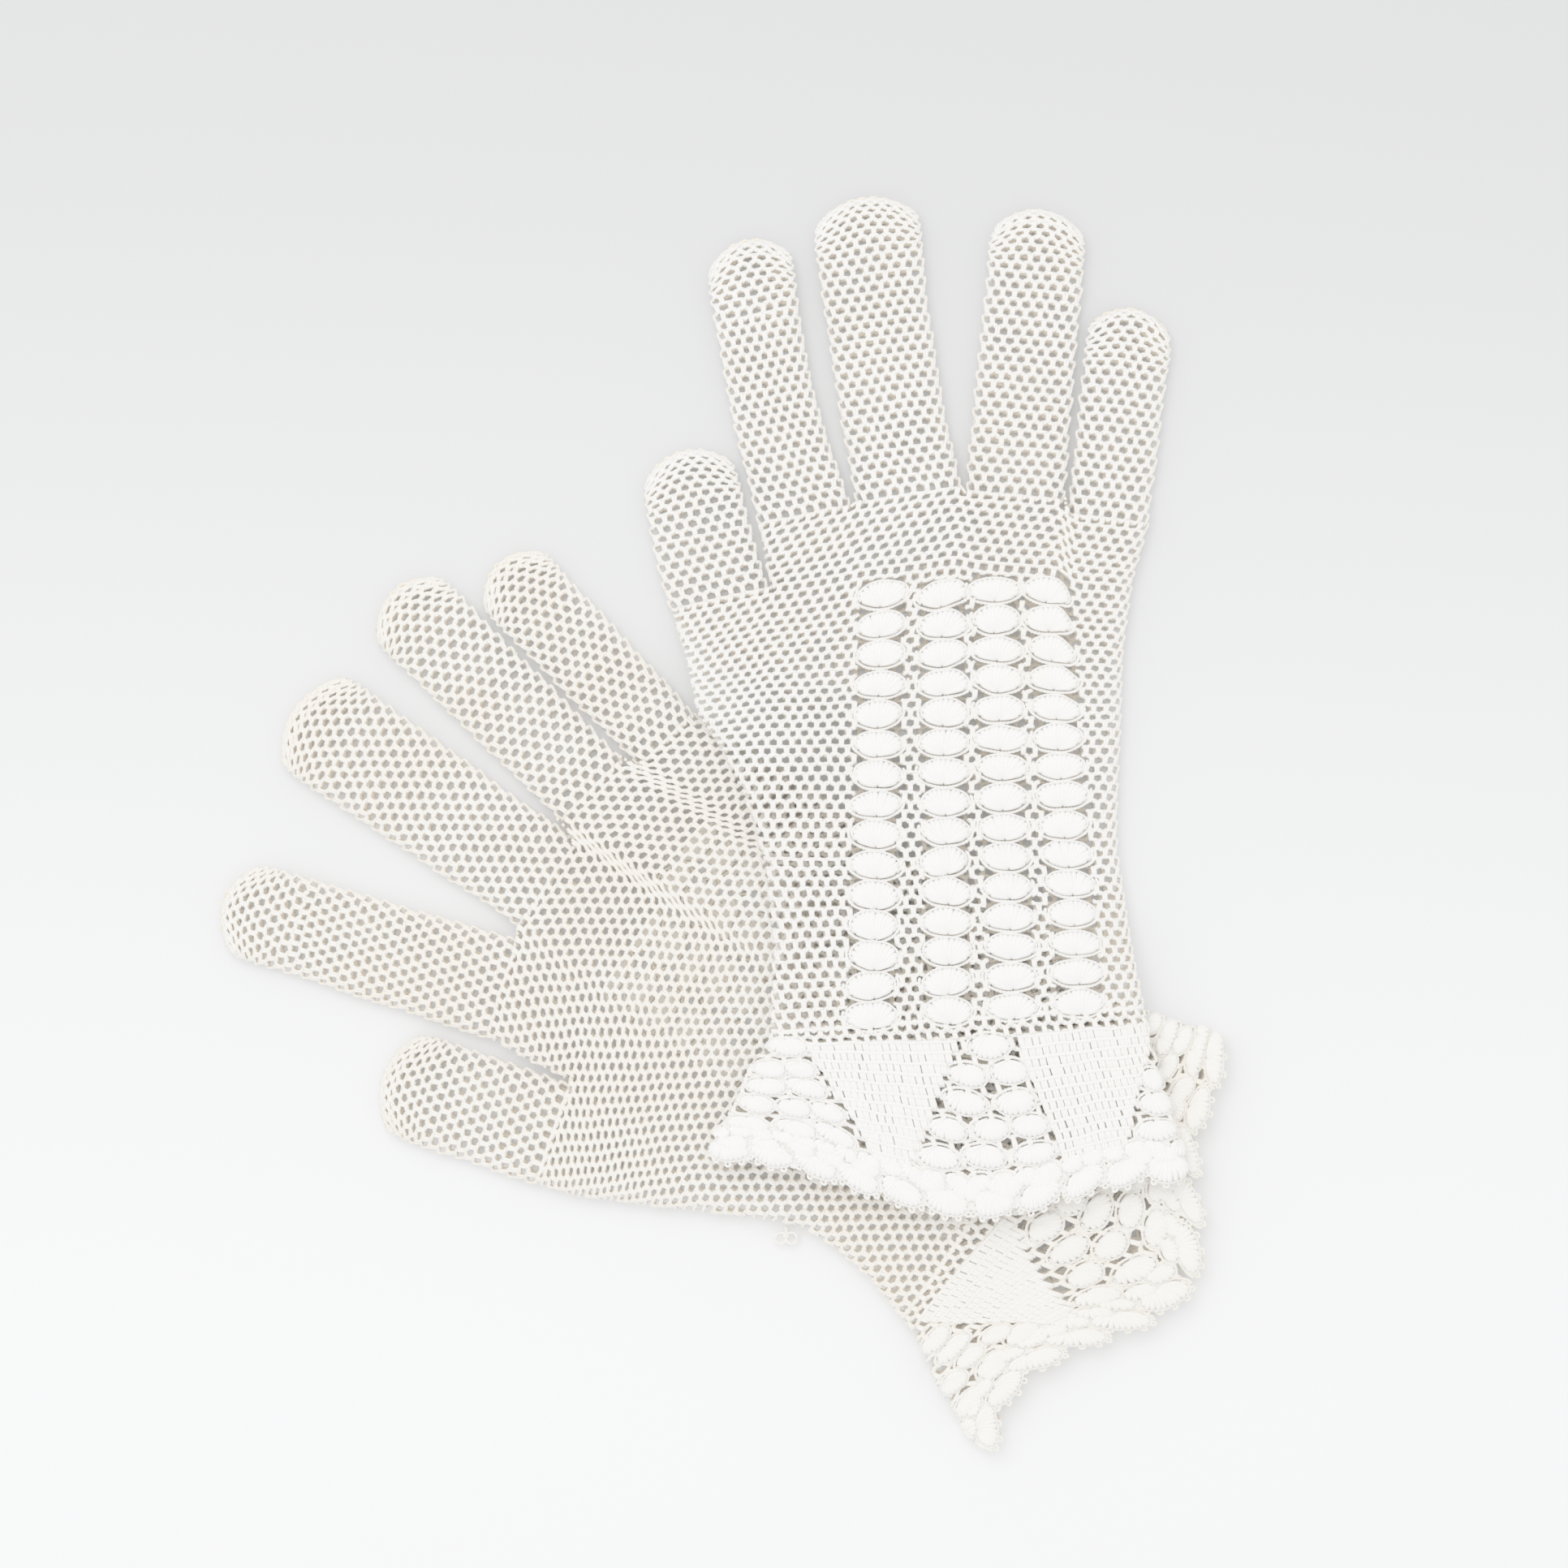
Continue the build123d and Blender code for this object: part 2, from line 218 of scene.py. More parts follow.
class Sleeve:
    """A flattened sleeve of fabric. u runs round it from the fold at its little-finger side, over the upper
    layer to the other fold at u = half, and under it with u negative; v runs along it."""

    SAMPLES = 400  # steps round it
    TURN, FLAT = 16, 58  # stations over each fold and between the folds
    WAVELENGTHS = (17, 13, 24)  # of its wander along a row, from row to row and off the fabric
    WANDER, SAG = 0.22, 0.25  # how far it wanders in the fabric and off it
    BEYOND = (-0.5, 2.2)  # how far its first and last step are carried on past their ends, in steps

    def __init__(self, v0, dv, curves, lows, highs, fold):
        """curves: per row, plan points from the little-finger side to the thumb side. lows, highs: heights."""
        self.v0, self.dv = v0, dv
        points, normals, halves = [], [], []
        for curve, low, high in zip(curves, lows, highs):
            p, n, half = self.ring(curve, low, high, fold)
            points.append(p)
            normals.append(n)
            halves.append(half)
        self.points, self.normals, self.half = np.array(points), np.array(normals), np.array(halves)
        self.wave_u, self.wave_v, self.wave_lift = (Noise(scale) for scale in self.WAVELENGTHS)

    def ring(self, curve, low, high, fold):
        """Points and normals round one row, and half its length."""
        step = np.r_[0, np.cumsum(np.linalg.norm(np.diff(curve, axis=0), axis=1))]
        length = step[-1]
        inset = min(INSET, length * 0.2)
        fold = min(fold, length / 2 - inset - 0.05)
        turn = np.linspace(0, math.pi / 2, self.TURN)
        first = inset + fold * (1 - np.cos(turn))
        flat = np.linspace(first[-1], length - first[-1], self.FLAT + 2)[1:-1]
        s = np.r_[first, flat, (length - first)[::-1]]
        zeta = np.r_[np.sin(turn), np.ones(self.FLAT), np.sin(turn)[::-1]]
        xy = np.stack([np.interp(s, step, curve[:, i]) for i in (0, 1)], axis=1)
        low, high = np.interp(s, step, low), np.interp(s, step, high)
        middle, b = (low + high) / 2, (high - low) / 2 - INSET
        along = unit(np.gradient(xy, axis=0))
        side = np.r_[-np.cos(turn), np.zeros(self.FLAT), np.cos(turn)[::-1]]
        layers = []
        for sign in (1, -1):
            z = middle + sign * zeta * b
            p = np.concatenate([xy, z[:, None]], axis=1)
            up = sign * np.where(side == 0, 1.0, zeta)
            n = unit(np.concatenate([along * side[:, None], up[:, None]], axis=1))
            reach = np.r_[0, np.cumsum(np.linalg.norm(np.diff(p, axis=0), axis=1))]
            even = np.linspace(0, reach[-1], self.SAMPLES // 2 + 1)
            p = np.stack([np.interp(even, reach, p[:, i]) for i in range(3)], axis=1)
            n = np.stack([np.interp(even, reach, n[:, i]) for i in range(3)], axis=1)
            layers.append((p, n, reach[-1]))
        upper, lower = layers
        points = np.concatenate([lower[0][::-1], upper[0][1:]])
        normals = np.concatenate([lower[1][::-1], upper[1][1:]])
        return points, normals, (upper[2] + lower[2]) / 2

    def half_at(self, v):
        k = np.clip((np.asarray(v) - self.v0) / self.dv, 0, len(self.half) - 1)
        return np.interp(k, np.arange(len(self.half)), self.half)

    def at(self, u, v, lift=0.0):
        """Points and normals of the fabric's middle surface, lifted off it."""
        u, v, lift = np.broadcast_arrays(*(np.asarray(a, float) for a in (u, v, lift)))
        u = u + self.WANDER * self.wave_u(u, v)
        v = v + self.WANDER * self.wave_v(u, v)
        f = (v - self.v0) / self.dv
        k = np.clip(np.floor(f).astype(int), 0, len(self.half) - 2)
        f = np.clip(f - k, *self.BEYOND)
        p, n = 0, 0
        for row, weight in ((k, 1 - f), (k + 1, f)):
            half = self.half[row]
            q = np.mod(u + half, 2 * half) / (2 * half) * self.SAMPLES
            i = np.minimum(q.astype(int), self.SAMPLES - 1)
            g = (q - i)[..., None]
            w = weight[..., None]
            p = p + w * ((1 - g) * self.points[row, i] + g * self.points[row, i + 1])
            n = n + w * ((1 - g) * self.normals[row, i] + g * self.normals[row, i + 1])
        n = unit(n)
        lift = lift + self.SAG * self.wave_lift(p[..., 0], p[..., 1])
        return p + lift[..., None] * n, n


class Yarns:
    """Collects swept yarn and makes one mesh of it."""

    PLY_START = 9  # each strand's ply starts at a random place on this length
    CAP_UV = (0.25, 0.15)  # place and radius of an end cap in a strand's share of the UV layout

    def __init__(self):
        self.parts = []

    def add(self, centre, normal, radius, tone=0.0):
        """centre and normal are (tubes, points, 3). No yarn goes through the table."""
        centre = np.array(centre, float)
        if len(centre) == 0 or centre.shape[1] < 2:
            return
        radius = np.broadcast_to(np.asarray(radius, float), centre.shape[:2])
        centre[..., 2] = np.maximum(centre[..., 2], radius)
        self.parts.append((centre, np.asarray(normal, float), radius, tone))

    def build(self, name, side, nodes):
        """The mesh, with a UV cell for every face: strands stand side by side on shelves."""
        verts, yarn, tones = [], [], []
        loops, sizes, uvs = [], [], []
        vertex = 0
        area = sum(c.shape[0] * (c.shape[1] + 1) * (SIDES + 1) for c, *_ in self.parts)
        width = max(math.ceil(math.sqrt(area)), max(c.shape[1] for c, *_ in self.parts) + 1)
        shelf = 0
        angle = np.arange(SIDES) * TAU / SIDES
        cos, sin = np.cos(angle), np.sin(angle)
        for centre, normal, radius, tone in self.parts:
            tubes, points = centre.shape[:2]
            along = unit(np.gradient(centre, axis=1))
            across = unit(np.cross(along, normal))
            up = np.cross(across, along)
            ring = cos[:, None] * up[:, :, None, :] + sin[:, None] * across[:, :, None, :]
            co = centre[:, :, None, :] + radius[:, :, None, None] * ring
            verts.append(co.reshape(-1, 3))
            steps = np.linalg.norm(np.diff(centre, axis=1, prepend=centre[:, :1]), axis=2)
            run = np.cumsum(steps, axis=1) + rng.uniform(0, self.PLY_START, (tubes, 1))
            info = np.empty((tubes, points, SIDES, 3))
            info[..., 0] = run[:, :, None]
            info[..., 1], info[..., 2] = cos, sin
            yarn.append(info.reshape(-1, 3))
            tones.append(np.full(tubes * points * SIDES, tone))
            each = np.arange(tubes)
            t, i, j = np.meshgrid(each, np.arange(points - 1), np.arange(SIDES), indexing="ij")
            near = vertex + (t * points + i) * SIDES
            far = near + SIDES
            nxt = (j + 1) % SIDES
            loops.append(np.stack([near + j, near + nxt, far + nxt, far + j], axis=-1).reshape(-1))
            sizes.append(np.full(t.size, 4))
            cell_w, cell_h = points + 1, SIDES + 1
            per_shelf = max(width // cell_w, 1)
            cell_left, cell_bottom = (each % per_shelf) * cell_w, shelf + (each // per_shelf) * cell_h
            left, bottom = cell_left[t] + i + 0.5, cell_bottom[t] + j + 0.5
            u = np.stack([left, left, left + 1, left + 1], axis=-1)
            v = np.stack([bottom, bottom + 1, bottom + 1, bottom], axis=-1)
            uvs.append(np.stack([u.reshape(-1), v.reshape(-1)], axis=1))
            cap_at, cap_radius = self.CAP_UV
            for end, order in ((0, np.arange(SIDES)[::-1]), (points - 1, np.arange(SIDES))):
                cap = (vertex + (each * points + end) * SIDES)[:, None] + order
                loops.append(cap.reshape(-1))
                sizes.append(np.full(tubes, SIDES))
                x = cell_left + (cap_at if end == 0 else points - cap_at)
                y = cell_bottom + 0.5 + SIDES / 2
                cap_uv = np.stack([x[:, None] + cap_radius * cos, y[:, None] + cap_radius * sin], axis=-1)
                uvs.append(cap_uv.reshape(-1, 2))
            shelf += math.ceil(tubes / per_shelf) * cell_h
            vertex += tubes * points * SIDES
        verts, loops, sizes = np.concatenate(verts) * MM, np.concatenate(loops), np.concatenate(sizes)
        starts, uvs = np.cumsum(sizes) - sizes, np.concatenate(uvs) / max(width, shelf)
        mesh = bpy.data.meshes.new(name)
        mesh.vertices.add(len(verts))
        mesh.vertices.foreach_set("co", verts.ravel().astype(np.float32))
        mesh.loops.add(len(loops))
        mesh.loops.foreach_set("vertex_index", loops.astype(np.int32))
        mesh.polygons.add(len(starts))
        mesh.polygons.foreach_set("loop_start", starts.astype(np.int32))
        mesh.update(calc_edges=True)
        mesh.polygons.foreach_set("use_smooth", np.ones(len(starts), bool))
        mesh.uv_layers.new(name="OFBake").uv.foreach_set("vector", uvs.ravel().astype(np.float32))
        mesh.attributes.new("yarn", "FLOAT_VECTOR", "POINT").data.foreach_set(
            "vector", np.concatenate(yarn).ravel().astype(np.float32))
        mesh.attributes.new("tone", "FLOAT", "POINT").data.foreach_set(
            "value", np.concatenate(tones).astype(np.float32))
        mesh.materials.append(MATERIALS[side])
        piece = new_object(name, mesh)
        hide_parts(*nodes)
        return piece


def runs(keep):
    """Stretches of consecutive true values, as (start, stop), without the very short ones."""
    edge = np.flatnonzero(np.diff(np.r_[0, keep.astype(int), 0]))
    return [(a, b) for a, b in zip(edge[::2], edge[1::2]) if b - a > SHORTEST]


def braid(yarns, place, u, v, pitch, radius=YARN, twist=TWIST, keep=None, tone=0.0, phase=0.0):
    """Two strands twisted round each other along a row. place(u, v, lift) gives points and normals."""
    for strand in (0, math.pi):
        angle = TAU * u / pitch + strand + phase
        p, n = place(u, v + twist * np.cos(angle), twist * np.sin(angle))
        for a, b in ([(0, len(u))] if keep is None else runs(keep)):
            yarns.add(p[None, a:b], n[None, a:b], radius, tone)


def legs(yarns, place, u0, v0, u1, v1):
    """Stitches: each is two strands side by side from one row up to the next, over its braid."""
    t = np.linspace(0, 1, 4)
    foot, head = LEG_SPREAD
    for s in (-1, 1):
        u = u0[:, None] * (1 - t) + u1[:, None] * t + s * (foot + (head - foot) * t)
        v = v0[:, None] * (1 - t) + v1[:, None] * t
        lift = -0.15 + 0.62 * np.sin(t * 2.1)
        p, n = place(u, v, lift)
        yarns.add(p, n, YARN * (1.0 - 0.12 * t))


def net(yarns, sleeve, rows, layer, last, first=0, pitch=PITCH, keep=None, lift=0.0):
    """Rows of stitches on one layer of a sleeve: +1 upper, -1 lower. Columns count from the fold at u = 0.
    last is where the stitches of its last row end, and first the number of its first row."""
    def place(u, v, rise):
        return sleeve.at(u, v, rise + lift)

    for k, (v, v_next) in enumerate(zip(rows, np.r_[rows[1:], last]), start=first):
        half = float(sleeve.half_at(v))
        u = np.linspace(0, half, int(half / pitch * PER_STITCH) + 1)
        offset, below = 0.5 * (k % 2), 0.5 * ((k + 1) % 2)
        fade = smooth((half - u) / 4)
        line = v - ZIGZAG * np.cos(TAU * (u / pitch - below)) * fade
        kept = None if keep is None else keep(layer * u, line)
        braid(yarns, place, layer * u, line, pitch, keep=kept, phase=k * ROW_TURN)
        at = (np.arange(int(half / pitch + 1)) + offset) * pitch
        at = at[at < half - 0.3]
        at = at + rng.normal(0, 0.1, len(at))
        lower = np.full(len(at), v + 0.15)
        upper = np.full(len(at), v_next + 0.05) + rng.normal(0, 0.07, len(at))
        if keep is not None:
            ok = keep(layer * at, lower) & keep(layer * at, upper)
            at, lower, upper = at[ok], lower[ok], upper[ok]
        legs(yarns, place, layer * at, lower, layer * at, upper)


def chain(yarns, place, x, y, radius=0.3, twist=0.2, pitch=1.9, lift=0.0, tone=0.0):
    """Two twisted strands along a path of the plan."""
    step = np.hypot(np.gradient(x), np.gradient(y))
    run = np.cumsum(step)
    dx, dy = -np.gradient(y) / step, np.gradient(x) / step
    for strand in (0, math.pi):
        angle = TAU * run / pitch + strand
        off = twist * np.cos(angle)
        p, n = place(x + off * dx, y + off * dy, lift + twist * np.sin(angle))
        yarns.add(p[None], n[None], radius, tone)


def shell(yarns, place, width, height, strands=15, puff=0.9, thick=0.78, rim=0.3):
    """A fan of puffy strands that open from a base at (0, 0) towards +y, inside an ellipse that rests on it,
    with a chain round its edge. puff is its height, and thick and rim are the radii of the yarn."""
    foot = 0.8              # the ends keep this angle clear to each side of the base
    fine = np.linspace(foot, TAU - foot, 200)
    edge_x, edge_y = (width / 2 - 0.55) * np.sin(fine), height / 2 - (height / 2 - 0.5) * np.cos(fine)
    run = np.r_[0, np.cumsum(np.hypot(np.diff(edge_x), np.diff(edge_y)))]
    stops = run[-1] * (np.arange(strands) + 0.5 + rng.normal(0, 0.06, strands)) / strands
    end_x, end_y = np.interp(stops, run, edge_x), np.interp(stops, run, edge_y)
    spread = 2 * stops / run[-1] - 1
    t = STRAND_AT
    x = end_x[:, None] * t ** 0.8
    y = 0.25 + (end_y[:, None] - 0.25) * t ** 1.15
    crown = (1 - 0.25 * spread[:, None] ** 2) * (1 + rng.normal(0, 0.05, (strands, 1)))
    rise = FAN_LIFT + puff * np.sin(math.pi * (0.06 + 0.74 * t)) * crown
    p, n = place(x, y, np.broadcast_to(rise, x.shape))
    yarns.add(p, n, np.broadcast_to(thick * STRAND_TAPER, x.shape), PUFFY)
    turn = np.linspace(1.0, TAU - 1.0, 30)
    chain(yarns, place, (width / 2 - 0.1) * np.sin(turn), height / 2 - (height / 2 - 0.1) * np.cos(turn),
          radius=rim, twist=0.18, pitch=1.5, lift=FAN_LIFT + 0.1, tone=PUFFY)


def smile(width, height, grow, reach, points):
    """A line outside a shell's ellipse, round its base, reach radians to each side."""
    turn = np.linspace(-reach, reach, points)
    a, b = width / 2 + grow, height / 2 + grow
    return a * np.sin(turn), height / 2 - b * np.cos(turn)


def turned(place, angle):
    """The same place, with its plan turned by an angle."""
    c, s = math.cos(angle), math.sin(angle)
    return lambda x, y, lift: place(c * x - s * y, s * x + c * y, lift)


# ---- materials ----

def feed(node, inputs):
    """Sets each input of a node to a value, or links it to another node's output."""
    for slot, value in inputs.items():
        if isinstance(value, bpy.types.NodeSocket):
            node.id_data.links.new(value, node.inputs[slot])
        else:
            node.inputs[slot].default_value = value


def new_material(name):
    """A material, its shader, and a function that adds a node to it and gives back the node's outputs."""
    material = bpy.data.materials.new(name)
    material.use_nodes = True
    nodes = material.node_tree.nodes

    def add(kind, inputs, **settings):
        node = nodes.new(f"ShaderNode{kind}")
        for key, value in settings.items():
            setattr(node, key, value)
        feed(node, inputs)
        return node.outputs

    return material, nodes["Principled BSDF"], add


def cotton(name, warm, white, shade_colour):
    """Matt cotton: plied twist along each strand, soft mottling, a little fuzz. Painted shade: the dips between
    plies lean to the warm colour, and strand sides that face into the fabric take the shade colour, less on
    white yarn."""
    material, shader, add = new_material(name)

    def maths(kind, a, b=0.0):
        return add("Math", {0: a, 1: b}, operation=kind)[0]

    def times(a, b):
        return maths("MULTIPLY", a, b)

    ply_length, plies = 0.9, 2.0
    yarn = add("SeparateXYZ", {0: add("Attribute", {}, attribute_name="yarn")["Vector"]})
    tone = add("Attribute", {}, attribute_name="tone")["Fac"]
    place = add("TexCoord", {})["Object"]
    around = maths("ARCTAN2", yarn["Z"], yarn["Y"])
    ply = maths("ADD", times(yarn["X"], TAU / ply_length), times(around, plies))
    twist = maths("ABSOLUTE", maths("SINE", ply))
    fibres = add("TexNoise", {"Scale": 5200, "Detail": 3, "Vector": place})["Fac"]
    height = maths("ADD", times(twist, 0.7), times(fibres, 0.5))
    bump = add("Bump", {"Strength": 0.5, "Distance": 0.00012, "Height": height})["Normal"]

    mottle = add("TexNoise", {"Scale": 38, "Detail": 2, "Vector": place})["Fac"]
    ramp = add("ValToRGB", {"Fac": maths("ADD", mottle, times(tone, 0.25))})["Color"]
    for stop, position, colour in zip(ramp.node.color_ramp.elements, (0.35, 0.68), (warm, white)):
        stop.position, stop.color = position, (*colour, 1)
    # painted shade: the dips between the plies lean towards the warm colour
    ply_groove_shade = times(maths("SUBTRACT", 1.0, twist), 0.25)
    plied = add("Mix", {"Factor": ply_groove_shade, "A": ramp, "B": (*warm, 1)}, data_type="RGBA")["Result"]
    # painted shade: the side of a strand that faces into the fabric takes the shade colour, less where tone is
    # high
    inward_shade_mask = add("MapRange", {"From Min": 0.55, "From Max": -0.6, "Value": yarn["Y"]})["Result"]
    share = times(inward_shade_mask, maths("SUBTRACT", 1.0, times(tone, 0.75)))
    colour = add("Mix", {"Factor": share, "A": plied, "B": (*shade_colour, 1)}, data_type="RGBA")["Result"]
    feed(shader, {"Base Color": colour, "Normal": bump, "Roughness": 0.85, "Specular IOR Level": 0.2,
                  "Sheen Weight": 0.25, "Sheen Roughness": 0.5})
    return material


def paper():
    """The floor's paper, which greys along Y: a painted shade that darkens its far side."""
    material, shader, add = new_material("paper")
    along = add("SeparateXYZ", {0: add("TexCoord", {})["Object"]})["Y"]
    share = add("MapRange", {"From Min": FADE[0], "From Max": FADE[1], "Value": along},
                interpolation_type="SMOOTHSTEP")["Result"]
    # painted shade: the paper darkens towards +Y
    colour = add("Mix", {"Factor": share, "A": PAPER, "B": SHADED_PAPER}, data_type="RGBA")["Result"]
    feed(shader, {"Roughness": 0.9, "Base Color": colour})
    return material


# the first colour serves the mottling and the painted shade in the dips between plies; the third is the painted
# shade on the strands' inward sides
MATERIALS = {
    "left": cotton("left_cotton", (0.95, 0.895, 0.80), (0.96, 0.935, 0.88), (0.95, 0.83, 0.65)),
    "right": cotton("right_cotton", (0.955, 0.92, 0.86), (0.965, 0.955, 0.93), (0.95, 0.84, 0.67)),
}


# ---- digits ----

class Digit:
    """One finger's sleeve, in its own frame: v along it from the root joint, measured from its CAD node."""

    def __init__(self, side, digit):
        self.side, self.name = side, f"{side}_{digit}"
        hinge = joint(f"{self.name}_fold")
        self.root = joint_point(f"{self.name}_fold")
        self.right = np.array(hinge["axis"][:2])
        self.forward = np.array([-self.right[1], self.right[0]])
        local, edges = mesh_arrays([self.name])
        d = local[:, :2] - self.root[:2]
        local[:, 0], local[:, 1] = d @ self.right, d @ self.forward
        self.length = local[:, 1].max()
        self.v = np.arange(-3, self.length, 0.5)
        inside = np.clip(self.v, 0.2, self.length - 0.3)
        self.x_low, self.x_high = slices(local, edges, 1, inside, 0)
        self.z_low, self.z_high = slices(local, edges, 1, inside, 2)

    def width_at(self, v):
        return np.interp(v, self.v, self.x_low), np.interp(v, self.v, self.x_high)

    def sleeve(self, hand_low, hand_high):
        """Its sleeve, from the hand's height at the root to the closed tip."""
        stations = np.arange(-2.0, self.length - 0.2, DIGIT_STEP)
        curves, lows, highs = [], [], []
        join = 1 - smooth((self.v + 1) / ROOT_JOIN)
        self.z_low = self.z_low + (hand_low - self.z_low) * join
        self.z_high = self.z_high + (hand_high - self.z_high) * join
        for v in stations:
            bow = BOW[0] * smooth((v - self.length + BOW[1]) / BOW[1])
            low, high = self.width_at(v)
            for _ in range(12):
                end = max(v - bow, -3)
                low = 0.5 * low + 0.5 * np.interp(end, self.v, self.x_low)
                high = 0.5 * high + 0.5 * np.interp(end, self.v, self.x_high)
            x = np.linspace(high, low, 41)
            reach = (x - (low + high) / 2) / ((high - low) / 2)
            y = v - bow * reach ** 2
            plan = self.root[:2] + x[:, None] * self.right + y[:, None] * self.forward
            curves.append(plan)
            z_low, z_high = np.interp(y, self.v, self.z_low), np.interp(y, self.v, self.z_high)
            closing = np.clip((v - self.length + TIP_ROUND) / (TIP_ROUND - TIP_SEAM), 0, 1)
            share = math.sqrt(1 - closing ** 2)
            middle, half = (z_low + z_high) / 2, (z_high - z_low) / 2 - INSET
            lows.append(middle - share * half - INSET)
            highs.append(middle + share * half + INSET)
        return Sleeve(stations[0], DIGIT_STEP, curves, lows, highs, DIGIT_FOLD)

    def build(self, hand, hand_low, hand_high):
        sleeve = self.sleeve(hand_low, hand_high)
        yarns = Yarns()
        rows, v = [-0.25], 0.0
        while True:
            left = self.length - v
            step = ROW if left > 15 else 1.55 + 0.75 * left / 15
            if v + step > self.length - TIP_ROUND:
                break
            v += step
            rows.append(v)
        over = TIP_ROUND - TIP_SEAM
        rows += [self.length - TIP_ROUND + over * math.sin(math.radians(a)) for a in TIP_ROWS]
        counts = []  # stitches in each row, which only drop near the tip and seldom change before it
        for v in rows:
            pitch = PITCH - 0.75 * smooth((v - self.length + 12) / 12)
            n = 2 * round(float(sleeve.half_at(v)) / pitch)
            if counts and v > self.length - 20:
                n = min(n, counts[-1])
            elif counts and abs(n - counts[-1]) <= 2:
                n = counts[-1]
            counts.append(n)
        for k, v in enumerate(rows):
            half, n = float(sleeve.half_at(v)), counts[k]
            pitch = 2 * half / n
            u = np.linspace(-half, half, n * PER_STITCH + 1)
            below = 0.5 * ((k + 1) % 2)
            line = v - ZIGZAG * np.cos(TAU * ((u + half) / pitch - below))
            braid(yarns, sleeve.at, u, line, pitch, phase=k * ROW_TURN)
            if k + 1 < len(rows):
                share = (np.arange(n) + 0.5 * (k % 2)) / n
                top = float(sleeve.half_at(rows[k + 1]))
                wobble = rng.normal(0, 0.1, n)
                u0, u1 = (2 * share - 1) * half + wobble, (2 * share - 1) * top + wobble
                upper = rows[k + 1] + rng.normal(0.05, 0.07, n)
                legs(yarns, sleeve.at, u0, np.full(n, v + 0.15), u1, upper)
        piece = yarns.build(f"{self.name}_net", self.side, [self.name])
        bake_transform(piece)


# ---- hands ----

def ray_heights(nodes, points):
    """Top height of the CAD nodes above each row-frame point, nan where there is none."""
    trees = [BVHTree.FromPolygons([v.co for v in frame["nodes"][n].data.vertices],
                                  [p.vertices for p in frame["nodes"][n].data.polygons]) for n in nodes]
    out = []
    for x, y in points:
        hits = [tree.ray_cast(Vector((x * MM, y * MM, 1)), Vector((0, 0, -1)))[0] for tree in trees]
        out.append(max([h.z / MM for h in hits if h is not None], default=math.nan))
    return np.array(out)


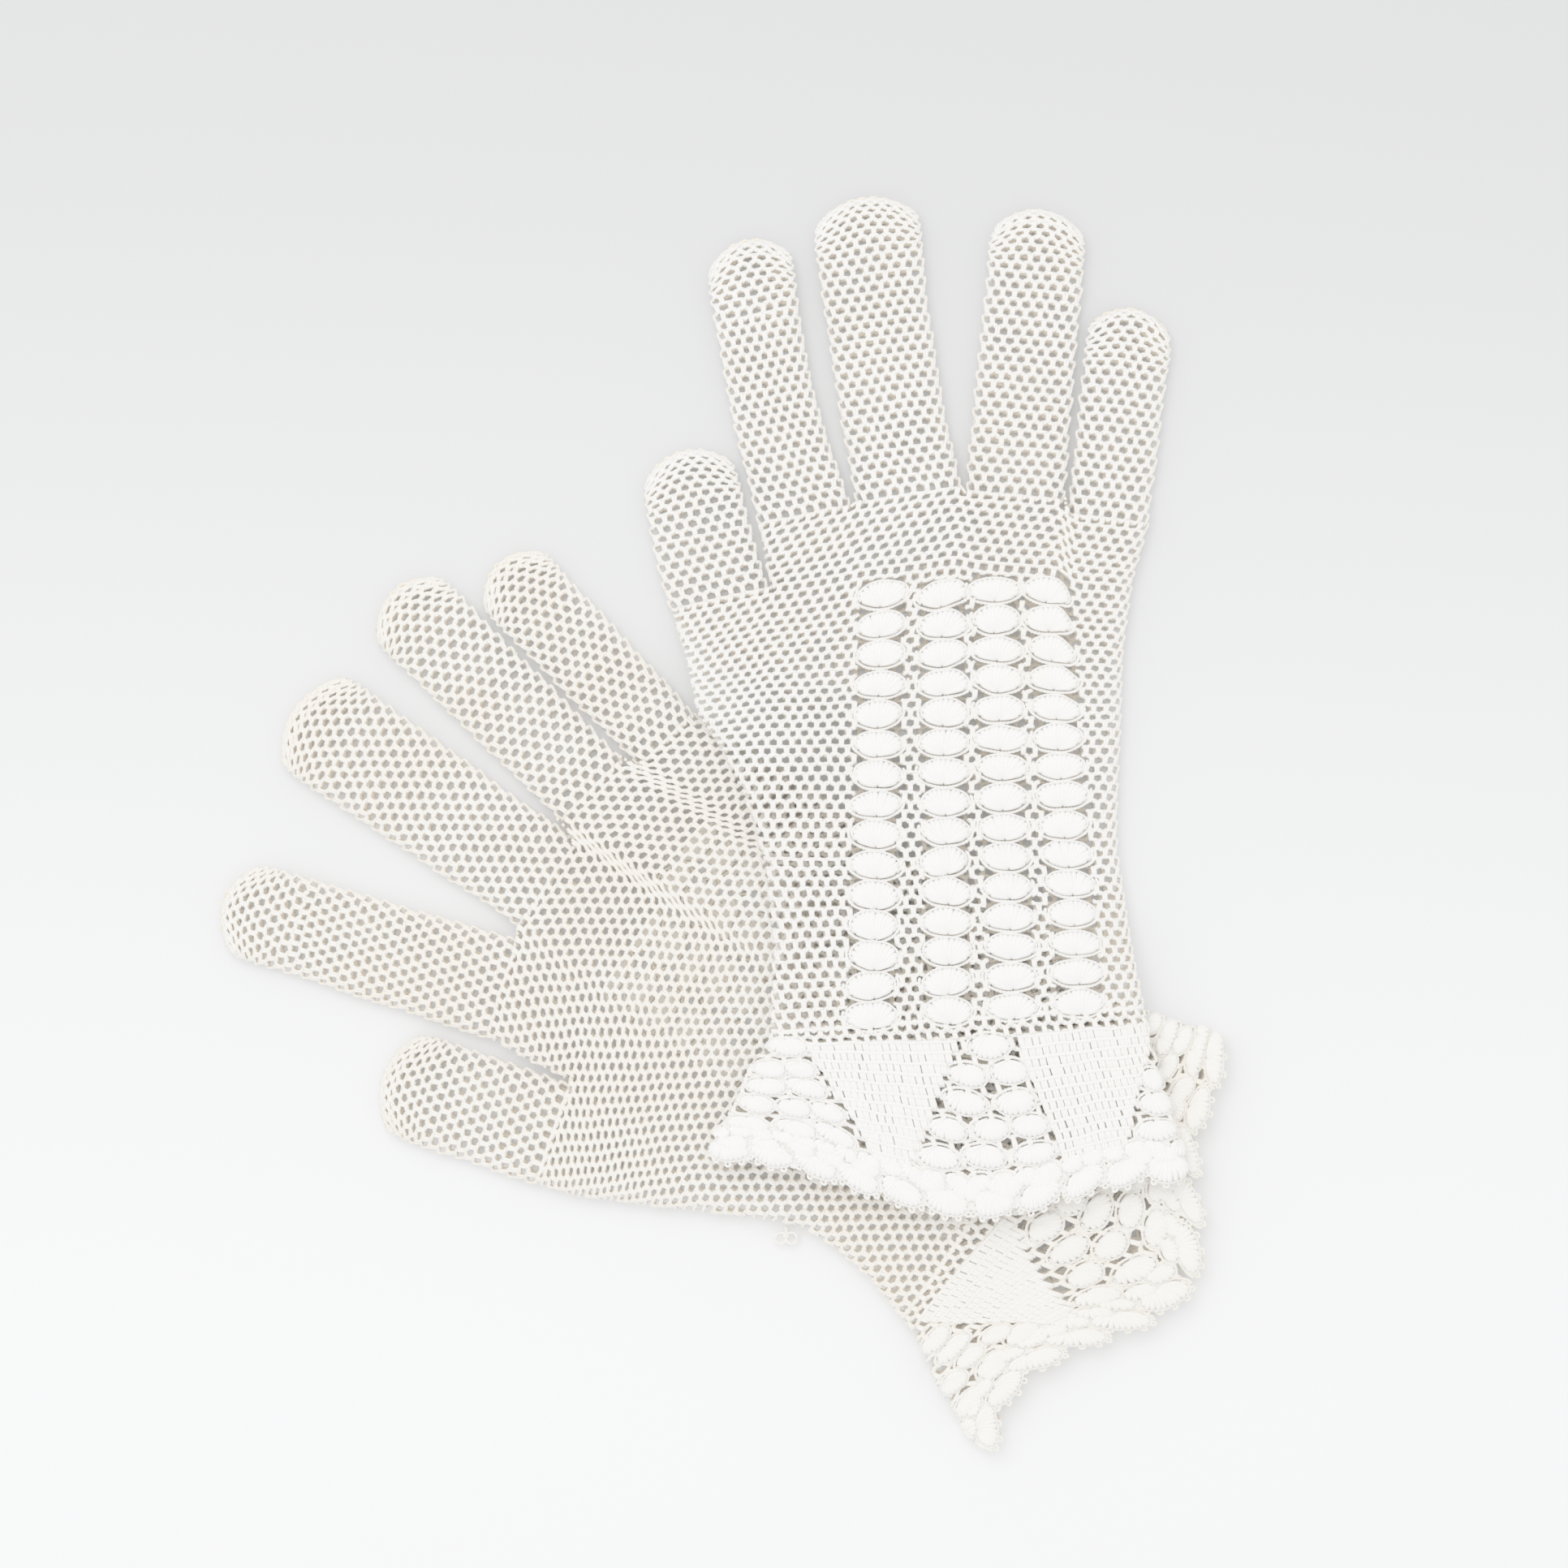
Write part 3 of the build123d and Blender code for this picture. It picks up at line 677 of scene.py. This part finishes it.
class Hand:
    """A hand and cuff: their outline, heights and rows, measured from the CAD nodes."""

    def __init__(self, side):
        self.side, self.plan = side, Plan(side)
        self.body = f"{side}_hand"
        self.layers = GLOVES[side]["deck"]
        self.digits = {d: Digit(side, d) for d in DIGITS}
        hand_co, hand_edges = self.measured(f"{side}_palm", f"{side}_back")
        self.wrist = corner(hand_co, -1, -3)[:2], corner(hand_co, 1, -3)[:2]
        self.height = min(hand_co[:, 2].max(), HAND_HEIGHT)
        self.measure_drape()
        y = np.arange(min(p[1] for p in self.wrist) - 4, 100, 0.25)
        low, high = slices(hand_co, hand_edges, 1, y, 0)
        self.roots = {}
        for name, digit in self.digits.items():
            self.roots[name] = [self.in_plan(digit.root[:2] + x * digit.right) for x in digit.width_at(0)]
        for edge, name, end in ((low, "index", 0), (high, "little", 1)):
            x0, y0 = self.roots[name][end]
            digit = self.digits[name]
            ahead = self.in_plan(digit.root[:2] + digit.forward) - self.in_plan(digit.root[:2])
            above = y > y0 - 1
            edge[above] = x0 + (y[above] - y0) * ahead[0] / ahead[1]
        for edge, (x0, y0) in ((low, self.wrist[0]), (high, self.wrist[1])):
            edge[y < y0 + 0.3] = x0
        self.y, self.low, self.high = y, low, high
        line = np.array([p for d in DIGITS[1:] for p in self.roots[d]])
        line = line[np.argsort(line[:, 0])]
        x = np.arange(-60, 160, 0.5)
        arch = np.interp(x, line[:, 0], line[:, 1])
        self.arch_x, self.arch_y = x[5:-5], blurred(arch, 5)
        self.arch_top = self.arch_y.max()
        self.web = self.roots["thumb"][1]
        self.thumb_slope = np.divide(*(self.roots["thumb"][1] - self.roots["thumb"][0])[::-1])
        self.wrist_slope = np.divide(*(self.wrist[1] - self.wrist[0])[::-1])
        self.wrist_middle = (self.wrist[0] + self.wrist[1]) / 2

    def measured(self, *nodes):
        """Vertices in the plan and edges of CAD nodes."""
        co, edges = mesh_arrays(nodes)
        return self.plan.from_row(co), edges

    def in_plan(self, point):
        return self.plan.from_row(np.array([*point, 0.0]))[:2]

    def measure_drape(self):
        """Height of the glove's top along the direction in which it climbs onto the other glove."""
        other = Plan("left")
        self.climb, self.climb_from = other.x_axis, other.origin
        node = f"{self.side}_palm" if self.side == "left" else f"{self.side}_back"
        co, _ = mesh_arrays([node])
        middle = co[:, :2].mean(axis=0)
        q = (co[:, :2] - other.origin) @ self.climb
        span = np.arange(q.min() - 20, q.max() + 20, 1.0)
        top = np.full(len(span), math.nan)
        for shift in (-30, 0, 30):
            base = middle + shift * other.y_axis
            points = [base + (s - (base - other.origin) @ self.climb) * self.climb for s in span]
            top = np.fmax(top, ray_heights([node], points))
        known = ~np.isnan(top)
        top = np.interp(span, span[known], top[known])
        self.drape = span, blurred(np.pad(top, 7, mode="edge"), 7)

    def top(self, x, y):
        """Top height of the glove at a point of its plan."""
        return np.interp((self.plan.to_row(x, y) - self.climb_from) @ self.climb, *self.drape)

    def drop(self, x, y):
        """How far a row strays from its level at a point: it bends to the fingers, the thumb and the wrist."""
        to_arch = self.arch_top - np.interp(np.maximum(x, self.web[0]), self.arch_x, self.arch_y)
        thumb_level = self.roots["thumb"][0][1] - 3
        lean = self.thumb_slope * np.minimum(x - self.web[0], 0) * smooth((y - 2) / (thumb_level - 2))
        rise = lean - to_arch * smooth((y - lean - 12) / 62)
        return rise + self.wrist_slope * (x - self.wrist_middle[0]) * smooth((-2 - y) / 44)

    def row_y(self, level, x):
        """Where the row of a level lies at x."""
        y = np.full_like(np.asarray(x, float), level)
        for _ in range(14):
            y = level + self.drop(x, y)
        return y

    def level(self, x, y):
        """The level of the row through a point."""
        return float(y - self.drop(np.array(x), np.array(y)))

    def laid(self, levels, rows):
        """A sleeve over the glove, whose rows run through plan points from its little-finger side."""
        tops = [self.top(xs, ys) for xs, ys in rows]
        curves = [self.plan.to_row(xs, ys) for xs, ys in rows]
        lows = [top - self.height for top in tops]
        return Sleeve(levels[0], levels[1] - levels[0], curves, lows, tops, FOLD)

    def sleeve(self, start, stop):
        """The hand's sleeve between two levels."""
        count = max(math.ceil((stop - start) / TABLE_STEP), 2)
        levels = np.linspace(start, stop, count + 1)
        x = np.arange(*ACROSS, 0.25)
        rows = []
        for level in levels:
            y = self.row_y(level, x)
            inside = (x >= np.interp(y, self.y, self.low)) & (x <= np.interp(y, self.y, self.high))
            middle = np.searchsorted(x, self.wrist_middle[0])
            a, b = next((a, b) for a, b in runs(inside) if a <= middle < b)
            ends = [x[a], x[b - 1]]
            for _ in range(8):
                ends[0] = np.interp(self.row_y(level, ends[0]), self.y, self.low)
                ends[1] = np.interp(self.row_y(level, ends[1]), self.y, self.high)
            xs = np.linspace(ends[1], ends[0], ROW_POINTS)
            rows.append((xs, self.row_y(level, xs)))
        return self.laid(levels, rows)

    def columns(self):
        """Middle line of each column of fans, as x = a + b y, and the stretch of y that it covers."""
        found = []
        for i in range(1, 5):
            co, _ = self.measured(f"{self.side}_fan_column_{i}")
            b, a = np.polyfit(co[:, 1], co[:, 0], 1)
            found.append((a, b, co[:, 1].min(), co[:, 1].max()))
        return found

    def locate(self, sleeve, level, x, layer):
        """(u, v) of the point at x on one row of a sleeve, in one of its layers; level is its v."""
        k = int(np.clip(round((level - sleeve.v0) / sleeve.dv), 0, len(sleeve.half) - 1))
        half = sleeve.SAMPLES // 2
        row = sleeve.points[k, half:] if layer > 0 else sleeve.points[k, half::-1]
        across = self.plan.from_row(row)[:, 0]
        u = np.linspace(0, sleeve.half[k], half + 1)
        return layer * np.interp(-x, -across, u), level

    def build(self):
        for digit in self.digits.values():
            root = self.in_plan(digit.root[:2])
            top = float(self.top(*root))
            digit.build(self.body, top - self.height, top)
        columns = self.columns()
        start = self.level(*self.wrist_middle) + 0.9
        web = self.level(*self.web)
        lower_count = round((web - start) / ROW)
        upper_count = round((self.arch_top - web) / ROW)
        lower_rows = np.linspace(start, web, lower_count + 1)
        upper_rows = np.linspace(web, self.arch_top, upper_count + 1)
        lower = self.sleeve(start - 2.5, web - 1.0)
        upper = self.sleeve(web + 0.5, self.arch_top)
        upper.wave_u, upper.wave_v, upper.wave_lift = lower.wave_u, lower.wave_v, lower.wave_lift
        fans = self.layers["back"]

        def clear_of_fans(u, v):
            p, _ = lower.at(u, v)
            p = self.plan.from_row(p)
            free = np.ones(p.shape[:-1], bool)
            for a, b, low, high in columns:
                near = np.abs(p[..., 0] - a - b * p[..., 1]) < FAN_CLEAR
                free &= ~(near & (p[..., 1] < high - 0.8))
            return free

        middle = lower_count // 2
        strips = (("wrist", lower, lower_rows[:middle + 1], 0),
                  ("middle", lower, lower_rows[middle:], middle),
                  ("knuckles", upper, upper_rows, lower_count))
        for name, layer in self.layers.items():
            node = f"{self.side}_{name}"
            for part, sleeve, rows, first in strips:
                keep = clear_of_fans if name == "back" and sleeve is lower else None
                yarns = Yarns()
                net(yarns, sleeve, rows[:-1], layer, last=rows[-1], first=first, keep=keep)
                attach(yarns.build(f"{node}_net_{part}", self.side, [node]), self.body)
        self.build_webs()
        for i, (a, b, low, high) in enumerate(columns, start=1):
            yarns = Yarns()
            count = round((high - low - FAN_SIZE[1] - 0.6) / FAN_PITCH) + 1
            for y in np.linspace(high - FAN_SIZE[1] / 2 - 0.6, low + FAN_SIZE[1] / 2 + 0.4, count):
                x = a + b * y
                u, v = self.locate(lower, self.level(x, y), x, fans)
                scale = 1 + rng.normal(0, 0.03)
                width, height = FAN_SIZE[0] * scale, FAN_SIZE[1] * (2 - scale)
                base_v = v - height / 2
                place = turned(lambda dx, dy, lift: lower.at(u - fans * dx, base_v + dy, lift),
                               rng.normal(0, 0.05))
                shell(yarns, place, width, height)
                chain(yarns, place, *smile(width, height, 0.75, 1.9, 30), lift=0.1)
            piece = yarns.build(f"{self.side}_fans_{i}", self.side, [f"{self.side}_fan_column_{i}"])
            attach(piece, self.body)
        self.build_cuff()

    def build_webs(self):
        """Stitches that close the small gaps between the roots of neighbouring digits, from layer to layer."""
        yarns = Yarns()
        for a, b in zip(DIGITS[:-1], DIGITS[1:]):
            ends = [self.roots[a][1], self.roots[b][0]]
            if a == "thumb":
                ends[1] = ends[0] + np.array([2.6, 0.6])
            ahead = self.digits[b].forward
            for f in np.linspace(-0.15, 1.15, 5):
                x, y = ends[0] + (ends[1] - ends[0]) * f
                top = float(self.top(x, y))
                t = np.linspace(0, math.pi, 9)
                plan = self.plan.to_row(x, y) + ahead * (0.5 * np.sin(t) - 0.5)[:, None]
                z = top - self.height / 2 + (self.height / 2 - INSET) * np.cos(t)
                points = np.concatenate([plan, z[:, None]], axis=1)
                yarns.add(points[None], np.broadcast_to([*ahead, 0.0], points.shape)[None], 0.4)
        piece = yarns.build(f"{self.side}_webs", self.side, [f"{self.side}_palm", f"{self.side}_back"])
        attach(piece, self.body)

    # ---- cuff ----

    def hem_y(self, x):
        return np.interp(x, *self.valleys.T)

    def cuff_y(self, v, x):
        """Where the cuff's row at v lies at x: v runs from 0 at the wrist to the scallops' valleys and past."""
        top = np.polyval(self.wrist_line, x)
        return top - (top - self.hem_y(x)) * min(v / self.cuff_depth, 1) - max(v - self.cuff_depth, 0)

    def cuff_v(self, x, y):
        top = np.polyval(self.wrist_line, x)
        share = (top - y) / (top - self.hem_y(x))
        return float(share * self.cuff_depth if share < 1 else self.cuff_depth + (self.hem_y(x) - y))

    def cuff_sleeve(self, y, low, high):
        """The cuff's own sleeve, within its lowest and highest x at each y."""
        levels = np.arange(-2.0, self.cuff_depth + 7, TABLE_STEP)
        rows = []
        for v in levels:
            ends = [low[len(y) // 2], high[len(y) // 2]]
            for _ in range(20):
                for i, edge in enumerate((low, high)):
                    ends[i] = 0.5 * ends[i] + 0.5 * float(np.interp(self.cuff_y(v, ends[i]), y, edge))
            xs = np.linspace(ends[1], ends[0], ROW_POINTS)
            rows.append((xs, self.cuff_y(v, xs)))
        return self.laid(levels, rows)

    def build_cuff(self):
        side = self.side
        co, edges = self.measured(*(n for n in frame["nodes"] if n.startswith(f"{side}_cuff_")))
        hem_co, hem_edges = self.measured(f"{side}_cuff_edging")
        x = np.arange(hem_co[:, 0].min() + 0.4, hem_co[:, 0].max() - 0.3, 0.25)
        outline, _ = slices(hem_co, hem_edges, 0, x, 1)
        peaks = np.flatnonzero((outline[1:-1] > outline[:-2]) & (outline[1:-1] >= outline[2:])) + 1
        peaks = [0, *(i for i in peaks if 3 < i < len(x) - 4), -1]
        self.valleys = valleys = np.array([(x[i], outline[i]) for i in peaks])
        self.wrist_line = np.polyfit(*np.array(self.wrist).T, 1)
        self.cuff_depth = float(np.polyval(self.wrist_line, x).mean() - outline.mean())
        y = np.arange(co[:, 1].min(), max(p[1] for p in self.wrist), 0.25)
        low, high = slices(co, edges, 1, y, 0)
        for edge, (x0, y0), at_hem in ((low, self.wrist[0], valleys[0]), (high, self.wrist[1], valleys[-1])):
            edge[y > y0 - 0.6] = x0
            edge[y < at_hem[1] + 0.6] = at_hem[0]
        self.cuff = self.cuff_sleeve(y, low, high)

        blocks = {}
        for name, layer in self.layers.items():
            for where in ("thumbside", "littleside"):
                node = f"{side}_cuff_{name}_block_{where}"
                block, _ = self.measured(node)
                corners = [corner(block, *d)[:2] for d in ((-1, 0.3), (1, 0.3), (0.3, -1), (-0.3, -1))]
                for top_corner in corners[:2]:
                    top_corner[1] += self.cuff_v(*top_corner) - BAND
                blocks[where] = corners
                yarns = Yarns()
                self.build_block(yarns, corners, layer)
                self.finish_cuff(yarns.build(f"{side}_cuff_{name}_stitches_{where}", side, [node]))
        for name, layer in self.layers.items():
            yarns = Yarns()
            net(yarns, self.cuff, np.array(BAND_ROWS), layer, last=BAND)
            self.build_lace(yarns, blocks, (y, low, high), layer)
            lace = [f"{side}_cuff_{part}_lace" for part in (name, "thumbside", "littleside")]
            self.finish_cuff(yarns.build(f"{side}_cuff_{name}_shells", side, lace))
            yarns = Yarns()
            self.build_edging(yarns, layer)
            self.finish_cuff(yarns.build(f"{side}_cuff_{name}_scallops", side, [f"{side}_cuff_edging"]))

    def finish_cuff(self, piece):
        """The left cuff rides on its hand; the right one has its placement baked into its mesh."""
        if self.side == "left":
            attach(piece, self.body)
            return
        middle = self.plan.to_row(*self.wrist_middle)
        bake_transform(piece)

    def build_block(self, yarns, corners, layer):
        """Rows of close double stitches, spaced evenly from the block's top to its foot, a ridge on each."""
        sleeve = self.cuff
        top_left, top_right, low_right, low_left = (
            self.locate(sleeve, self.cuff_v(*c), c[0], layer) for c in corners)
        count = round((low_left[1] + low_right[1] - top_left[1] - top_right[1]) / 2 / BLOCK_ROW)
        f = np.linspace(0, 1, count + 1)[:, None]
        lines = np.stack([np.array(top) * (1 - f) + np.array(low) * f
                          for top, low in ((top_left, low_left), (top_right, low_right))], axis=1)

        def ridge(u, v, lift):
            return sleeve.at(u, v, lift + 0.3)

        for (a, b), (c, d) in zip(lines[:-1], lines[1:]):
            stitches = max(round(abs(b[0] - a[0]) / BLOCK_STITCH), 2)
            t = (np.arange(stitches) + 0.5) / stitches
            u = a[0] + (b[0] - a[0]) * t + rng.normal(0, 0.05, stitches)
            v = a[1] + (b[1] - a[1]) * t
            slope = ((d + c) / 2 - (a + b) / 2)[1]
            for strand in (-1, 1):
                t = np.linspace(0, 1, 5)
                su = u[:, None] + strand * 0.36 + rng.normal(0, 0.04, (stitches, 1)) * t
                p, n = sleeve.at(su, v[:, None] + (slope + 0.1) * t - 0.05, 0.5 * np.sin(math.pi * t) - 0.1)
                yarns.add(p, n, 0.41 + 0.05 * np.sin(math.pi * t), PUFFY)
            long = np.linspace(0, 1, stitches * 4 + 1)
            braid(yarns, ridge, a[0] + (b[0] - a[0]) * long, a[1] + (b[1] - a[1]) * long,
                  BLOCK_STITCH, radius=0.36, twist=0.2, tone=PUFFY)
        a, b = lines[-1]
        long = np.linspace(0, 1, 31)
        braid(yarns, sleeve.at, a[0] + (b[0] - a[0]) * long, a[1] + (b[1] - a[1]) * long, BLOCK_STITCH,
              radius=0.4, twist=0.2, tone=PUFFY)

    def build_lace(self, yarns, blocks, outline, layer):
        """Rows of shells that open towards the hem, on an open net, round the solid blocks. outline holds y
        and the cuff's lowest and highest x there."""
        y, low, high = outline

        def in_block(px, py, margin):
            for corners in blocks.values():
                off = [np.cross(b - a, np.array([px, py]) - a) / max(np.linalg.norm(b - a), 0.01)
                       for a, b in zip(corners, corners[1:] + corners[:1])]
                if max(off) < margin:
                    return True
            return False

        def open_lace(u, v):
            p, _ = self.cuff.at(u, v)
            p = self.plan.from_row(p)
            free = [not in_block(*q, -INTO_BLOCK) for q in p[..., :2].reshape(-1, 2)]
            return np.array(free).reshape(p.shape[:-1])

        pitch, row_height, lift = GROUND
        ground = np.arange(BAND, self.cuff_depth - 1.5, row_height)
        net(yarns, self.cuff, ground, layer, last=ground[-1] + 3.0, pitch=pitch, keep=open_lace, lift=lift)
        rows = int((self.cuff_depth - EDGING - 3.2) // SHELL_STEP[1])
        for k in range(rows + 1):
            x = np.arange(*ACROSS, 0.5)
            row = self.cuff_y(FIRST_SHELLS + k * SHELL_STEP[1], x)
            free = (np.interp(row, y, low) + 0.8 < x) & (x < np.interp(row, y, high) - 0.8)
            free &= np.array([not in_block(*q, BLOCK_CLEAR) for q in zip(x, row)])
            for a, b in runs(free):
                length = x[b - 1] - x[a]
                count = max(round(length / SHELL_STEP[0] + (0.25 if k % 2 else -0.25)), 1)
                width = min(length / count, SHELL_STEP[0] * 1.15)
                for i in range(count if length > 4.5 else 0):
                    px = x[a] + length * (i + 0.5) / count + rng.normal(0, 0.4)
                    py = float(np.interp(px, x, row)) + rng.normal(0, 0.35)
                    size = (width * 0.95, *SHELL)
                    self.one_shell(yarns, px, py + 2.6, rng.normal(0, 0.13), size, layer)

    def one_shell(self, yarns, x, y, turn, size, layer, picots=0):
        """A shell whose base is at a point of the plan and which opens towards the hem. size is its width,
        height and number of strands."""
        width, height, strands = size
        u, v = self.locate(self.cuff, self.cuff_v(x, y), x, layer)
        place = turned(lambda dx, dy, lift: self.cuff.at(u + layer * dx, v + dy, lift), turn)
        shell(yarns, place, width, height, strands=strands, puff=0.75, thick=0.74, rim=0.27)
        chain(yarns, place, *smile(width, height, 0.6, 1.7, 24), lift=0.0)
        if picots:
            turns = np.linspace(-1, 1, picots) * 1.15
            ring = np.linspace(0, TAU, 11)
            for angle in turns:
                cx = (width / 2 + 0.5) * math.sin(angle)
                cy = height / 2 + (height / 2 + 0.5) * math.cos(angle)
                chain(yarns, place, cx + 0.6 * np.cos(ring), cy + 0.6 * np.sin(ring), radius=0.3, twist=0.06)

    def build_edging(self, yarns, layer):
        """Scallops along the hem, each a large shell with picots, under a row of smaller shells."""
        for a, b in zip(self.valleys[:-1], self.valleys[1:]):
            width = float(np.linalg.norm(b - a))
            middle = (a + b) / 2
            tilt = math.atan2(b[1] - a[1], b[0] - a[0])
            for half in (0.25, 0.75):
                px, py = a + (b - a) * half
                size = (width * SMALL_SHELL[0], *SMALL_SHELL[1:])
                self.one_shell(yarns, px, py + EDGING + 1.6, tilt + rng.normal(0, 0.1), size, layer)
            size = (width * SCALLOP[0], *SCALLOP[1:])
            turn = tilt + rng.normal(0, 0.08)
            self.one_shell(yarns, middle[0], middle[1] + 3.9, turn, size, layer, picots=5)


def build_knot():
    """The fastened-off yarn end: two loops side by side and the stem that ties them to the hand's edge."""
    low, high = (np.array(corner_point) / MM for corner_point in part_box("left_yarn_knot"))
    middle, z = (low[0] + high[0]) / 2, (low[2] + high[2]) / 2
    loop = (high[0] - low[0] - 0.9) / 4
    centre_y = low[1] + 0.45 + loop

    def place(x, y, lift):
        x, y, lift = np.broadcast_arrays(x, y, lift)
        point = np.stack([middle + x, centre_y + y, z + lift], axis=-1)
        return point, np.broadcast_to([0.0, 0.0, 1.0], point.shape)

    yarns = Yarns()
    ring = np.linspace(0, TAU, 26)
    for sign in (-1, 1):
        chain(yarns, place, sign * (loop * 0.93 + (loop - 0.05) * np.cos(ring) * (1 + 0.06 * np.sin(ring))),
              (loop - 0.05) * np.sin(ring), radius=0.3, twist=0.14, pitch=1.4)
    rise = np.linspace(0, high[1] - centre_y - 0.35, 10)
    chain(yarns, place, 0.12 * np.sin(rise * 1.4), rise, radius=0.34, twist=0.17, pitch=1.4)
    wrap = np.linspace(0, 2.2 * TAU, 40)
    p, n = place(0.62 * np.cos(wrap), 0.35 + 0.12 * wrap / TAU * 2, 0.58 * np.sin(wrap))
    yarns.add(p[None], n[None], 0.26)
    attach(yarns.build("left_yarn_loops", "left", ["left_yarn_knot"]), "left_hand")


for side in GLOVES:
    Hand(side).build()
build_knot()

# ---- stage ----

FLOOR_REACH = 4
FADE = (-0.16, 0.26)  # the paper greys from the first of these to the second, along Y in metres, as painted shade
# the second paper colour is a painted shade for the far side of the floor
PAPER, SHADED_PAPER = (0.915, 0.925, 0.945, 1), (0.56, 0.565, 0.575, 1)
LIGHT_PLACE, LIGHT_SIZE, LIGHT_POWER = (-0.25, 0.45, 1.2), 0.9, 5.0
SKY, SKY_STRENGTH = (1.0, 0.998, 0.99, 1), 0.74
VIEW_CENTRE, VIEW_WIDTH, VIEW_LEVEL = (12.6, 10.85), 386.4, 7

floor_mesh = bpy.data.meshes.new("floor")
floor_corners = [(x * FLOOR_REACH, y * FLOOR_REACH, 0) for x, y in ((-1, -1), (1, -1), (1, 1), (-1, 1))]
floor_mesh.from_pydata(floor_corners, [], [(0, 1, 2, 3)])
floor = new_object("floor", floor_mesh)
floor_mesh.materials.append(paper())

world = bpy.data.worlds.new("studio")
world.use_nodes = True
feed(world.node_tree.nodes["Background"], {"Color": SKY, "Strength": SKY_STRENGTH})
bpy.context.scene.world = world

light = bpy.data.lights.new("key", "AREA")
light.shape, light.size, light.energy = "SQUARE", LIGHT_SIZE, LIGHT_POWER
lamp = new_object("key", light)
lamp.location = LIGHT_PLACE
lamp.rotation_euler = (-Vector(LIGHT_PLACE)).to_track_quat("-Z", "Y").to_euler()

camera_data = bpy.data.cameras.new("camera")
camera_data.lens, camera_data.sensor_width = 85, 36
camera = new_object("camera", camera_data)
distance = VIEW_WIDTH * camera_data.lens / camera_data.sensor_width
camera.location = (VIEW_CENTRE[0] * MM, VIEW_CENTRE[1] * MM, (distance + VIEW_LEVEL) * MM)
bpy.context.scene.camera = camera
bpy.context.scene.view_settings.view_transform = "Standard"
bpy.context.scene.view_settings.gamma = 2.2
